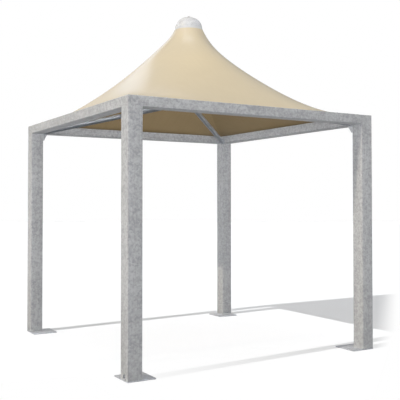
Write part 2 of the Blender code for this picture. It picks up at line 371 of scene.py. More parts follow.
@dataclass(frozen=True)
class GalvanisedSteel:
    """Dull hot-dip zinc: soft crystals, cloudy patches, runs along the bar, and painted shade low
    down.

    The heights are above the ground: where the painted shade towards the ground ends, how high the
    painted contact shadow reaches along a plate's lower edge, and where the painted shadow line lies
    between a post and its plate.
    """

    name: str
    grain: Axis
    dark: Colour = (0.283, 0.287, 0.297)
    light: Colour = (0.452, 0.457, 0.468)
    contrast: Span = (0.34, 0.66)
    metal: float = 0.25
    dullness: Span = (0.42, 0.60)
    clouds: Lumps = Lumps(0.045, 4.0, 0.62, 0.6)
    cloud_share: float = 0.45
    runs: Lumps = Lumps(0.012, 3.0, 0.55)
    run_stretch: float = 0.06
    run_share: float = 0.24
    crystal_size: float = 0.018
    crystal_share: float = 0.16
    crystal_bend: Lumps = Lumps(1.0 / 60.0)
    crystal_bend_reach: float = 0.006
    patches: Lumps = Lumps(0.35)
    patch_share: float = 0.15
    specks: Lumps = Lumps(0.007, 2.0, 0.6)
    speck_rise: Span = (0.66, 0.78)
    speck_colour: Colour = (0.30, 0.31, 0.33)
    speck_tint: float = 0.30
    # painted shade: one dark colour, laid on more strongly towards the ground up to the given height
    splashed: Colour = (0.16, 0.155, 0.145)
    splash_height: float = 1.3
    splash_tint: float = 0.10
    # painted contact shadow along the lowest few millimetres
    wet_edge: Span = (0.001, 0.007)
    wet_tint: float = 0.45
    # painted shadow line in the joint between a post and its plate
    joint_height: float = 0.014
    joint_reach: Span = (0.001, 0.0025)
    joint_tint: float = 0.5
    pits: Lumps = Lumps(0.010, 3.0, 0.6)
    relief: float = 0.0005

    def make(self) -> Material:
        """Build the material.

        Returns:
            The finished material.
        """
        graph = Graph(bpy.data.materials.new(self.name))
        place = graph.place()
        squeeze = [self.run_stretch if axis is self.grain else 1.0 for axis in Axis]
        runs = graph.noise(graph.squeezed(place, squeeze), self.runs)
        clouds = graph.noise(place, self.clouds)
        patches = graph.noise(place, self.patches)
        bent = graph.warped(place, self.crystal_bend, self.crystal_bend_reach)
        crystals = graph.crystals(bent, self.crystal_size)
        tone = (self.cloud_share * clouds + self.run_share * runs + self.crystal_share * crystals
                + self.patch_share * patches)
        base = graph.colour(tone.step(*self.contrast), self.dark, self.light)
        specks = graph.noise(place, self.specks).step(*self.speck_rise)
        base = graph.colour(self.speck_tint * specks, base, self.speck_colour)
        height = graph.parts(place)[2]
        # painted shade that darkens the steel towards the ground
        ground_shade = 1.0 - height.step(0.0, self.splash_height)
        # painted contact shadow along the lowest edge, where a plate meets the ground
        edge = 1.0 - height.step(*self.wet_edge)
        # painted shadow line in the joint between a post and its plate
        joint = 1.0 - abs(height - self.joint_height).step(*self.joint_reach)
        # the three painted shades, mixed towards one dark colour
        painted_shade = self.splash_tint * ground_shade + self.wet_tint * edge + self.joint_tint * joint
        base = graph.colour(painted_shade, base, self.splashed)
        dull = (0.5 * crystals + 0.5 * clouds).over(self.dullness)
        relief = 0.5 * graph.noise(place, self.pits) + 0.5 * runs
        return graph.finish(Base_Color=base, Roughness=dull, Metallic=self.metal,
                            Normal=graph.relief(relief, self.relief))


@dataclass(frozen=True)
class CloudedFinish:
    """A finish with soft clouds of two tones, duller where they are light, and a fine relief."""

    name: str
    dark: Colour
    light: Colour
    metal: float
    dullness: Span
    clouds: Lumps
    relief: float
    contrast: Span = (0.3, 0.7)
    grain: Lumps | None = None
    grain_share: float = 0.0
    grainy_relief: bool = False

    def body(self) -> dict[str, object]:
        """Return the shader's inputs for light that goes into the material."""
        return {}

    def make(self) -> Material:
        """Build the material.

        Returns:
            The finished material.
        """
        graph = Graph(bpy.data.materials.new(self.name))
        place = graph.place()
        clouds = graph.noise(place, self.clouds)
        grain = graph.noise(place, self.grain) if self.grain else clouds
        tone = ((1.0 - self.grain_share) * clouds + self.grain_share * grain).step(*self.contrast)
        relief = graph.relief(grain if self.grainy_relief else clouds, self.relief)
        return graph.finish(Base_Color=graph.colour(tone, self.dark, self.light), Metallic=self.metal,
                            Roughness=clouds.over(self.dullness), Normal=relief, **self.body())


@dataclass(frozen=True)
class GalvanisedTube(CloudedFinish):
    """Smooth drawn tube, zinc coated, with a soft metal gleam."""

    name: str = "galvanised_tube"
    dark: Colour = (0.31, 0.33, 0.365)
    light: Colour = (0.40, 0.425, 0.465)
    metal: float = 0.80
    dullness: Span = (0.33, 0.40)
    clouds: Lumps = Lumps(0.05, 3.0, 0.6, 0.4)
    relief: float = 0.00015
    contrast: Span = (0.34, 0.66)
    grain: Lumps = Lumps(0.008, 2.0, 0.6)
    grain_share: float = 0.35
    grainy_relief: bool = True


@dataclass(frozen=True)
class ZincFitting(CloudedFinish):
    """Bright zinc plate on small turned or pressed fittings."""

    name: str = "zinc_fitting"
    dark: Colour = (0.40, 0.41, 0.42)
    light: Colour = (0.54, 0.55, 0.56)
    metal: float = 0.9
    dullness: Span = (0.22, 0.44)
    clouds: Lumps = Lumps(0.012, 3.0, 0.6)
    relief: float = 0.0002


@dataclass(frozen=True)
class WeldMetal(CloudedFinish):
    """A weld bead under its zinc coat: brighter and lumpier than the bars that it joins."""

    name: str = "weld_metal"
    dark: Colour = (0.42, 0.43, 0.44)
    light: Colour = (0.66, 0.68, 0.70)
    metal: float = 0.6
    dullness: Span = (0.35, 0.60)
    clouds: Lumps = Lumps(0.004, 3.0, 0.6)
    relief: float = 0.0006


@dataclass(frozen=True)
class MilkyPlastic(CloudedFinish):
    """The translucent white plastic of the dome cap."""

    name: str = "milky_plastic"
    dark: Colour = (0.53, 0.535, 0.55)
    light: Colour = (0.695, 0.70, 0.72)
    metal: float = 0.0
    dullness: Span = (0.16, 0.32)
    clouds: Lumps = Lumps(0.035, 3.0, 0.65, 0.5)
    relief: float = 0.0012
    contrast: Span = (0.36, 0.64)
    grain: Lumps = Lumps(0.014, 2.0, 0.6)
    grain_share: float = 0.5
    ior: float = 1.46
    let_through: float = 0.15
    milkiness: float = 0.6
    milk_reach: float = 0.04
    milk_spread: Colour = WHITE

    def body(self) -> dict[str, object]:
        """Return the shader's inputs for light that goes into the material.

        Returns:
            A value for each input, by its name.
        """
        return {"IOR": self.ior, "Transmission_Weight": self.let_through,
                "Subsurface_Weight": self.milkiness, "Subsurface_Scale": self.milk_reach,
                "Subsurface_Radius": self.milk_spread}


@dataclass(frozen=True)
class CoatedFabric:
    """Woven membrane with a smooth coat: a faint weave, welded hips, soft clouds, painted shade and a
    collar.

    Painted shade darkens the neck, the pale collar is at its top, and painted shade darkens the
    underside over the left and the right side.
    """

    name: str
    dark: Colour
    light: Colour
    dullness: Span
    coat: float
    gloss: float = 0.25
    coat_ior: float = 1.6
    coat_dullness: float = 0.16
    clouds: Lumps = Lumps(0.30, 3.0, 0.55)
    rubs: Lumps = Lumps(0.03)
    rub_stretch: float = 0.12
    rub_share: float = 0.4
    contrast: Span = (0.30, 0.70)
    # painted shade on the neck, which darkens the cloth up it
    dust: float = 0.0
    dust_colour: Colour = (0.285, 0.28, 0.285)
    dust_rise: Span = (3.2, 3.5)
    collar: float = 0.0
    collar_colour: Colour = (0.58, 0.58, 0.59)
    collar_height: float = 3.687
    # painted shade over the underside's left and right quarters
    side_panels: float = 0.0
    blur: float = 0.001
    weave: float = 0.0022
    weave_depth: float = 0.000012
    hip_half_width: float = 0.017
    hip_depth: float = 0.0003

    def make(self) -> Material:
        """Build the material.

        Returns:
            The finished material.
        """
        graph = Graph(bpy.data.materials.new(self.name))
        place = graph.place()
        cloth = graph.cloth_place()
        across, up_slope, _ = graph.parts(cloth)
        x, y, z = graph.parts(place)
        clouds = graph.noise(place, self.clouds)
        rubs = graph.noise(graph.squeezed(cloth, (1.0, self.rub_stretch, 1.0)), self.rubs)
        tone = ((1.0 - self.rub_share) * clouds + self.rub_share * rubs).step(*self.contrast)
        base = graph.colour(tone, self.dark, self.light)
        # painted shade: the cloth darker up the neck
        base = graph.colour(self.dust * z.step(*self.dust_rise), base, self.dust_colour)
        collar = self.collar * z.past(self.collar_height, self.blur)
        base = graph.colour(collar, base, self.collar_colour)
        sideways = abs(x) - abs(y)
        # painted shade: the underside darker over the left and the right side
        base = graph.colour(self.side_panels * sideways.past(0.0, 2.0 * self.blur), base, BLACK)
        off_hip = abs(sideways) * math.sqrt(0.5)
        hip = 1.0 - off_hip.past(self.hip_half_width, self.blur)
        threads = 0.5 + 0.25 * across.wave(self.weave) + 0.25 * up_slope.wave(self.weave)
        woven = graph.relief(threads, self.weave_depth)
        return graph.finish(Base_Color=base, Roughness=clouds.over(self.dullness), Metallic=0.0,
                            Normal=graph.relief(hip, self.hip_depth, woven),
                            Specular_IOR_Level=self.gloss, Coat_Weight=self.coat,
                            Coat_IOR=self.coat_ior, Coat_Roughness=self.coat_dullness)


@dataclass(frozen=True)
class Finishes:
    """Every material of the gazebo."""

    steel: dict[Axis, Material]
    plate: Material
    tube: Material
    zinc: Material
    weld: Material
    fabric: Material
    lining: Material
    plastic: Material

    @classmethod
    def make(cls) -> "Finishes":
        """Build all of them.

        Returns:
            The finishes.
        """
        return cls(
            steel={axis: GalvanisedSteel(f"galvanised_along_{axis.name.lower()}", axis).make()
                   for axis in Axis},
            # paler and bluer than the other steel: painted sky light, as on the plates' tops; the
            # clamp bars share it
            plate=GalvanisedSteel(
                "galvanised_plate", Axis.X, dark=(0.355, 0.372, 0.415), light=(0.548, 0.568, 0.622),
                run_stretch=0.5, joint_tint=0.0).make(),
            tube=GalvanisedTube().make(),
            zinc=ZincFitting().make(),
            weld=WeldMetal().make(),
            fabric=CoatedFabric(
                "coated_fabric", dark=(0.655, 0.54, 0.35), light=(0.675, 0.56, 0.365),
                dullness=(0.40, 0.46), coat=1.0, dust=0.15, collar=0.95).make(),
            # the underside is a darker, more saturated copy of the top fabric: painted shade
            lining=CoatedFabric(
                "fabric_underside", dark=(0.265, 0.19, 0.096), light=(0.287, 0.208, 0.106),
                dullness=(0.50, 0.56), coat=0.0, side_panels=0.15).make(),
            plastic=MilkyPlastic().make(),
        )


def shade(mesh: Mesh, sharp: float) -> None:
    """Shade a mesh smooth, apart from the edges above an angle in degrees."""
    mesh.shade_smooth()
    mesh.set_sharp_from_angle(angle=math.radians(sharp))


class Shape:
    """A mesh that is shaped with operators, step by step, until it becomes a piece."""

    SHARP: float = 32.0  # degrees above which an edge stays sharp
    EASED: float = 40.0  # degrees above which an edge gets rounded
    ALONG: float = 0.999  # the cosine above which a line counts as parallel to an axis
    SCREW_SIDES: int = 12
    SCREW_TOP: float = 0.72  # in shares of the head's radius, as the next one
    SCREW_EDGE: float = 0.25

    def __init__(self) -> None:
        """Start with nothing."""
        self.bm = bmesh.new()

    @classmethod
    def block(cls, low: Sequence[float], high: Sequence[float]) -> "Shape":
        """Start from the box between two corners.

        Args:
            low: The low corner.
            high: The high corner.

        Returns:
            The box.
        """
        low, high = Vector(low), Vector(high)
        shape = cls()
        corners = bmesh.ops.create_cube(shape.bm, size=1.0)["verts"]
        bmesh.ops.scale(shape.bm, vec=high - low, verts=corners)
        bmesh.ops.translate(shape.bm, vec=(low + high) / 2, verts=corners)
        shape.bm.normal_update()
        return shape

    @classmethod
    def rod(cls, radius: float, length: float, sides: int) -> "Shape":
        """Start from a solid rod along X, with its middle at the origin.

        Args:
            radius: The rod's radius.
            length: Its length.
            sides: The number of its sides.

        Returns:
            The rod.
        """
        shape = cls()
        bmesh.ops.create_cone(
            shape.bm, cap_ends=True, segments=sides, radius1=radius, radius2=radius, depth=length,
            matrix=Matrix.Rotation(0.5 * math.pi, 4, "Y"))
        shape.bm.normal_update()
        return shape

    @classmethod
    def revolved(cls, profile: Profile, steps: int, closed: bool = False) -> "Shape":
        """Start from a profile turned about Z.

        Args:
            profile: Points of radius and height.
            steps: The number of sides.
            closed: Whether the profile's ends join, as on a ring.

        Returns:
            The turned shape, with its faces pointing out.
        """
        shape = cls()
        points = [shape.bm.verts.new((radius, 0.0, height)) for radius, height in profile]
        pairs = list(zip(points, points[1:]))
        if closed:
            pairs.append((points[-1], points[0]))
        lines = [shape.bm.edges.new(pair) for pair in pairs]
        bmesh.ops.spin(shape.bm, geom=points + lines, cent=(0.0, 0.0, 0.0), axis=(0.0, 0.0, 1.0),
                       angle=2.0 * math.pi, steps=steps, use_merge=True)
        bmesh.ops.remove_doubles(shape.bm, verts=shape.bm.verts, dist=1e-6)
        bmesh.ops.recalc_face_normals(shape.bm, faces=shape.bm.faces)
        return shape

    def bevelled(self, edges: list[BMEdge], width: float, segments: int) -> "Shape":
        """Round some of the edges.

        Args:
            edges: The edges.
            width: How far the rounding reaches.
            segments: The number of its faces.

        Returns:
            The same shape.
        """
        bmesh.ops.bevel(self.bm, geom=edges, offset=width, segments=segments, profile=0.5,
                        affect="EDGES", material=-1)
        self.bm.normal_update()
        return self

    def round_along(self, axis: Axis, radius: float, segments: int) -> "Shape":
        """Round the long edges that lie along an axis."""
        along = [edge for edge in self.bm.edges if self.is_along(edge, axis)]
        return self.bevelled(along, radius, segments)

    def is_along(self, edge: BMEdge, axis: Axis) -> bool:
        """Tell whether an edge lies along an axis."""
        line = edge.verts[1].co - edge.verts[0].co
        return abs(line[axis.value]) > self.ALONG * line.length

    def ease_edges(self, width: float, segments: int = 2) -> "Shape":
        """Round every sharp edge a little.

        Args:
            width: How far the rounding reaches.
            segments: The number of its faces.

        Returns:
            The same shape.
        """
        sharp = [edge for edge in self.bm.edges
                 if len(edge.link_faces) == 2 and edge.calc_face_angle() > math.radians(self.EASED)]
        return self.bevelled(sharp, width, segments)

    def bore(self, axis: Axis, wall: float) -> "Shape":
        """Make a bar hollow from end to end.

        Args:
            axis: The bar's direction.
            wall: The thickness of its wall.

        Returns:
            The same shape.
        """
        ends = [face for face in self.bm.faces if abs(face.normal[axis.value]) > self.ALONG]
        bmesh.ops.inset_individual(self.bm, faces=ends, thickness=wall, use_even_offset=True)
        rims = [edge for face in ends for edge in face.edges]
        bmesh.ops.delete(self.bm, geom=ends, context="FACES_ONLY")
        bmesh.ops.bridge_loops(self.bm, edges=rims)
        return self

    def cut_across(self, axis: Axis, place: float) -> "Shape":
        """Add a loop of edges where a plane across an axis cuts the shape.

        Args:
            axis: The axis.
            place: Where on it the plane stands.

        Returns:
            The same shape.
        """
        across = Vector([float(other is axis) for other in Axis])
        everything = self.bm.verts[:] + self.bm.edges[:] + self.bm.faces[:]
        bmesh.ops.bisect_plane(self.bm, geom=everything, dist=1e-6, plane_co=across * place,
                               plane_no=across)
        return self

    def add_screw(self, spot: Vector, radius: float, height: float) -> None:
        """Add the low domed head of a screw.

        Args:
            spot: The middle of the head's underside.
            radius: The head's radius.
            height: The head's height.
        """
        points = bmesh.ops.create_cone(
            self.bm, cap_ends=True, segments=self.SCREW_SIDES, radius1=radius,
            radius2=self.SCREW_TOP * radius, depth=height,
            matrix=Matrix.Translation(spot + Vector((0.0, 0.0, 0.5 * height))))["verts"]
        top = [face for point in points for face in point.link_faces if face.normal.z > self.ALONG]
        rim = list(dict.fromkeys(edge for face in top for edge in face.edges))
        self.bevelled(rim, self.SCREW_EDGE * radius, 2)

    def reshape(self, rule: Callable[[Vector], Vector]) -> "Shape":
        """Move every point by a rule.

        Args:
            rule: Gives each point its new place.

        Returns:
            The same shape.
        """
        for vertex in self.bm.verts:
            vertex.co = rule(vertex.co)
        return self

    def placed(self, matrix: Matrix) -> "Shape":
        """Turn and move the whole shape."""
        bmesh.ops.transform(self.bm, matrix=matrix, verts=self.bm.verts)
        return self

    def upward(self) -> "Shape":
        """Turn an open sheet's faces up.

        Returns:
            The same shape.
        """
        bmesh.ops.recalc_face_normals(self.bm, faces=self.bm.faces)
        if sum(face.normal.z for face in self.bm.faces) < 0.0:
            bmesh.ops.reverse_faces(self.bm, faces=self.bm.faces)
        return self

    def piece(self, name: str, *materials: Material, sharp: float = SHARP) -> Object:
        """Turn the shape into an object at the origin.

        Args:
            name: The object's name.
            materials: The finishes, in the order of the faces' numbers.
            sharp: The angle in degrees above which an edge stays sharp.

        Returns:
            The object, shaded smooth.
        """
        bmesh.ops.recalc_face_normals(self.bm, faces=self.bm.faces)
        mesh = bpy.data.meshes.new(name)
        self.bm.to_mesh(mesh)
        self.bm.free()
        for material in materials:
            mesh.materials.append(material)
        shade(mesh, sharp)
        made = bpy.data.objects.new(name, mesh)
        bpy.context.scene.collection.objects.link(made)
        return made


def applied(item: Object) -> Mesh:
    """Return the mesh of an object with its modifiers, or of a curve with its thickness."""
    depsgraph = bpy.context.evaluated_depsgraph_get()
    return bpy.data.meshes.new_from_object(item.evaluated_get(depsgraph))


def carve(item: Object, cutter: Object) -> None:
    """Cut one object out of another, and remove the cutter.

    Args:
        item: The object that is cut.
        cutter: The object that cuts it.
    """
    cut = item.modifiers.new("opening", "BOOLEAN")
    cut.operation = "DIFFERENCE"
    cut.object = cutter
    mesh = applied(item)
    item.modifiers.clear()
    item.data = mesh
    shade(mesh, Shape.SHARP)
    bpy.data.objects.remove(cutter)


@dataclass
class SubAssembly:
    """A group of pieces that is built and dressed together."""

    finishes: Finishes

    def build(self) -> None:
        """Build the pieces and hand them over."""
        raise NotImplementedError

    def hand_over(self, piece: Object, slot: Slot, *nodes: str) -> None:
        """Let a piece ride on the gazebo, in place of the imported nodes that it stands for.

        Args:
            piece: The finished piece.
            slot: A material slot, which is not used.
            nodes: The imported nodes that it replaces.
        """
        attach(piece, BODY)
        if nodes:
            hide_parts(*nodes)
        faces = len(piece.data.polygons)
        LOG.info("%s: %d faces, stands for %s", piece.name, faces, nodes or "itself")

    def show(self, shape: Shape, node: str, slot: Slot, material: Material) -> None:
        """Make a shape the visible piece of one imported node, and hand it over."""
        self.hand_over(shape.piece(f"{node}_skin", material), slot, node)


@dataclass
class BoxBars(SubAssembly):
    """Hollow bars of the frame's square section."""

    corner_radius: float = 0.007
    corner_segments: int = 6
    wall: float = 0.005

    def bar(self, low: Vector, high: Vector, axis: Axis) -> Shape:
        """Return the open bar between two corners, along an axis."""
        shape = Shape.block(low, high).round_along(axis, self.corner_radius, self.corner_segments)
        return shape.bore(axis, self.wall)


@dataclass
class Posts(BoxBars):
    """The four hollow posts, with an arched drain opening in the outer side of each foot.

    A post reaches up to where the beams' faces turn flat, since the weld there is ground flush.
    """

    drain_width: float = 0.040
    drain_height: float = 0.040
    drain_sill: float = 0.011
    drain_segments: int = 32

    def build(self) -> None:
        """Build each post between its base plate and the beams."""
        for corner in Corner:
            node = f"post_{corner.label}"
            low, high = cad_box(node)
            low.z = cad_box(f"base_plate_{corner.label}")[1].z
            high.z = cad_box("beam_front")[0].z + self.corner_radius
            post = self.bar(low, high, Axis.Z).piece(f"{node}_skin", self.finishes.steel[Axis.Z])
            carve(post, self.drain_cutter(corner, low, high))
            self.hand_over(post, Slot.STEEL, node)

    def drain_cutter(self, corner: Corner, low: Vector, high: Vector) -> Object:
        """Return the arched prism that cuts one drain opening.

        Args:
            corner: The post's corner.
            low: The post's low corner.
            high: The post's high corner.

        Returns:
            The cutter, through the post's outer side.
        """
        outer = low.x if corner.value[0] < 0 else high.x
        radius = 0.5 * self.drain_width
        shape = Shape.rod(radius, 4.0 * self.wall, self.drain_segments)
        for vertex in shape.bm.verts:
            if vertex.co.z < -1e-6:
                vertex.co.z = radius - self.drain_height
        centre = low.z + self.drain_sill + self.drain_height - radius
        shape.placed(Matrix.Translation((outer, 0.5 * (low.y + high.y), centre)))
        return shape.piece("drain_cutter", self.finishes.steel[Axis.Z])


@dataclass
class BasePlates(SubAssembly):
    """The four flat plates under the posts."""

    edge_radius: float = 0.0015
    edge_segments: int = 3

    def build(self) -> None:
        """Build each plate in its node's place."""
        for corner in Corner:
            node = f"base_plate_{corner.label}"
            plate = Shape.block(*cad_box(node)).ease_edges(self.edge_radius, self.edge_segments)
            self.show(plate, node, Slot.STEEL, self.finishes.plate)


@dataclass
class TopFrame(BoxBars):
    """The four hollow beams, mitred over the posts."""

    end_loops: int = 5

    def build(self) -> None:
        """Build each beam, with its ends cut to the diagonals and rounded at the outer corners."""
        low, high = cad_box("beam_front")
        for side in Side:
            shape = self.bar(low, high, Axis.X).reshape(self.mitred)
            for number in range(self.end_loops):
                reach = high.x - self.corner_radius * (1.0 - number / self.end_loops)
                shape.cut_across(Axis.X, reach).cut_across(Axis.X, -reach)
            shape.reshape(self.rounded).placed(side.turn)
            self.show(shape, f"beam_{side.label}", Slot.STEEL, self.finishes.steel[side.along])

    def rounded(self, point: Vector) -> Vector:
        """Return a point of the square's outer corner, drawn back to the corner's arc.

        Args:
            point: A point of a beam.

        Returns:
            The point's new place.
        """
        centre = cad_box("beam_front")[1].x - self.corner_radius
        beyond = Vector((abs(point.x) - centre, abs(point.y) - centre))
        if min(beyond) <= 0.0 or beyond.length <= self.corner_radius:
            return point
        beyond *= self.corner_radius / beyond.length
        return Vector((math.copysign(centre + beyond.x, point.x),
                       math.copysign(centre + beyond.y, point.y), point.z))

    @staticmethod
    def mitred(point: Vector) -> Vector:
        """Return a point of the bar's end, moved along the bar to the diagonal."""
        return Vector((math.copysign(abs(point.y), point.x), point.y, point.z))


@dataclass
class Struts(SubAssembly):
    """The four tubes to the hub, the brackets under their feet and the hub itself."""

    diameter: float = 0.0603
    wall: float = 0.0032
    sides: int = 56
    foot_height: float = 2.516
    head_height: float = 2.830
    gap: float = 0.0003
    bracket_thickness: float = 0.008
    bracket_drop: float = 0.085
    bracket_kink_drop: float = 0.065
    bracket_reach: float = 0.055
    bracket_kink_reach: float = 0.022
    bracket_tip_reach: float = 0.012
    bracket_edge: float = 0.0012
    corner_radius: float = 0.010
    corner_segments: int = 6
    hub_side: float = 0.110
    hub_wall: float = 0.006

    @property
    def inner_corner(self) -> float:
        """How far the frame's inner corner is from the middle, along X or Y."""
        return -cad_box("beam_front")[1].y

    @property
    def beam_bottom(self) -> float:
        """The height of the beams' underside."""
        return cad_box("beam_front")[0].z

    @property
    def run(self) -> float:
        """The level distance from the frame's inner corner to the middle."""
        return self.inner_corner * math.sqrt(2.0)

    @property
    def head(self) -> float:
        """The level distance from the frame's inner corner to the hub's side."""
        return self.run - 0.5 * self.hub_side

    @property
    def rise(self) -> float:
        """How much a strut rises for each metre along its diagonal."""
        return (self.head_height - self.foot_height) / self.run

    @property
    def stretch(self) -> float:
        """How much taller than wide an upright cut through a strut is."""
        return math.sqrt(1.0 + self.rise ** 2)

    def build(self) -> None:
        """Build the struts and brackets at the corners, and the hub in the middle."""
        for corner in Corner:
            place = corner.inward(self.inner_corner)
            self.show(self.tube().placed(place), f"strut_{corner.label}", Slot.TUBE,
                      self.finishes.tube)
            self.show(self.bracket().placed(place), f"bracket_{corner.label}", Slot.STEEL,
                      self.finishes.steel[Axis.Z])
        self.show(self.hub(), "hub", Slot.TUBE, self.finishes.tube)

    def tube(self) -> Shape:
        """Return a strut along X, its foot cut to the corner between two beams.

        Returns:
            The tube, from the frame's inner corner to the hub.
        """
        def cut_ends(point: Vector) -> Vector:
            """Move a point to the strut's end, and up its slope.

            Args:
                point: A point of the rod.

            Returns:
                The point's new place.
            """
            along = abs(point.y) + self.gap if point.x < 0.0 else self.head
            level = self.foot_height + self.rise * along
            return Vector((along, point.y, point.z * self.stretch + level))

        rod = Shape.rod(0.5 * self.diameter, 1.0, self.sides)
        return rod.bore(Axis.X, self.wall).reshape(cut_ends)

    def bracket(self) -> Shape:
        """Return the upright plate under a strut's foot, along X.

        Returns:
            The plate, with its kinked inner edge.
        """
        underside = self.foot_height - 0.5 * self.diameter * self.stretch
        back = -self.corner_radius * (math.sqrt(2.0) - 1.0)
        half = 0.5 * self.bracket_thickness
        outline = (
            (back, underside + self.rise * back),
            (back, self.beam_bottom - self.bracket_drop),
            (self.bracket_tip_reach, self.beam_bottom - self.bracket_drop),
            (self.bracket_kink_reach, self.beam_bottom - self.bracket_kink_drop),
            (self.bracket_reach, underside + self.rise * self.bracket_reach),
        )
        shape = Shape()
        points = [shape.bm.verts.new((reach, -half, height)) for reach, height in outline]
        face = shape.bm.faces.new(points)
        grown = bmesh.ops.extrude_face_region(shape.bm, geom=[face])["geom"]
        far = [item for item in grown if isinstance(item, BMVert)]
        bmesh.ops.translate(shape.bm, vec=(0.0, self.bracket_thickness, 0.0), verts=far)
        bmesh.ops.recalc_face_normals(shape.bm, faces=shape.bm.faces)
        return shape.ease_edges(self.bracket_edge)

    def hub(self) -> Shape:
        """Return the square hub, open below, whose sides face the struts.

        Returns:
            The hub.
        """
        low, high = cad_box("hub")
        half = 0.5 * self.hub_side
        shape = Shape.block((-half, -half, low.z), (half, half, high.z))
        shape.round_along(Axis.Z, self.corner_radius, self.corner_segments)
        floor = [face for face in shape.bm.faces if face.normal.z < -shape.ALONG]
        bmesh.ops.inset_individual(shape.bm, faces=floor, thickness=self.hub_wall,
                                   depth=low.z - high.z + self.hub_wall, use_even_offset=True)
        return shape.placed(Matrix.Rotation(0.25 * math.pi, 4, "Z"))


@dataclass
class Mast(SubAssembly):
    """The mast on the hub, the disc on its top and the ring that clamps the neck."""

    steps: int = 72
    wall: float = 0.004
    radius: float = 0.03015
    flange: float = 0.008
    disc: float = 0.008
    collar_radius: float = 0.035
    collar_height: float = 0.030
    stud_radius: float = 0.006
    ring_inner: float = 0.116
    edge: float = 0.001
    screws: int = 12
    screw_radius: float = 0.006
    screw_height: float = 0.004

    def build(self) -> None:
        """Build the turned pieces from the sizes of their nodes."""
        self.show(self.mast(), "mast", Slot.TUBE, self.finishes.tube)
        self.show(self.head(), "mast_head", Slot.ZINC, self.finishes.zinc)
        self.show(self.ring(), "neck_clamp_ring", Slot.ZINC, self.finishes.zinc)

    def mast(self) -> Shape:
        """Return the tube with its foot flange.

        Returns:
            The turned tube.
        """
        low, high = cad_box("mast")
        inner, flange_top = self.radius - self.wall, low.z + self.flange
        tube = ((inner, high.z), (self.radius, high.z), (self.radius, flange_top),
                (high.x, flange_top), (high.x, low.z), (inner, low.z))
        return Shape.revolved(tube, self.steps, closed=True).ease_edges(self.edge)

    def head(self) -> Shape:
        """Return the disc, with the collar under it and the stud on it.

        Returns:
            The turned disc.
        """
        low, high = cad_box("mast_head")
        bottom = low.z + self.collar_height
        top = bottom + self.disc
        profile = ((0.0, high.z), (self.stud_radius, high.z), (self.stud_radius, top), (high.x, top),
                   (high.x, bottom), (self.collar_radius, bottom), (self.collar_radius, low.z),
                   (0.0, low.z))
        return Shape.revolved(profile, self.steps).ease_edges(self.edge)

    def ring(self) -> Shape:
        """Return the clamp ring with its screws.

        Returns:
            The turned ring and its screws.
        """
        low, high = cad_box("neck_clamp_ring")
        profile = ((self.ring_inner, high.z), (high.x, high.z), (high.x, low.z),
                   (self.ring_inner, low.z))
        ring = Shape.revolved(profile, self.steps, closed=True).ease_edges(self.edge)
        middle = 0.5 * (self.ring_inner + high.x)
        for number in range(self.screws):
            angle = 2.0 * math.pi * number / self.screws
            spot = Vector((middle * math.cos(angle), middle * math.sin(angle), high.z))
            ring.add_screw(spot, self.screw_radius, self.screw_height)
        return ring


@dataclass
class ClampBars(SubAssembly):
    """The flat bars on the beams that hold down the membrane's hem, with their screws."""

    edge: float = 0.0008
    pitch: float = 0.150
    screw_radius: float = 0.0085
    screw_height: float = 0.005

    def build(self) -> None:
        """Build each bar, mitred like the beam under it."""
        low, high = cad_box("clamp_bar_front")
        middle = 0.5 * (low.y + high.y)
        count = round((high.x - low.x) / self.pitch)
        step = (high.x - low.x - self.pitch) / (count - 1)
        for side in Side:
            bar = Shape.block(low, high).reshape(TopFrame.mitred).ease_edges(self.edge, 1)
            for number in range(count):
                spot = Vector((low.x + 0.5 * self.pitch + number * step, middle, high.z))
                bar.add_screw(spot, self.screw_radius, self.screw_height)
            self.show(bar.placed(side.turn), f"clamp_bar_{side.label}", Slot.STEEL,
                      self.finishes.plate)


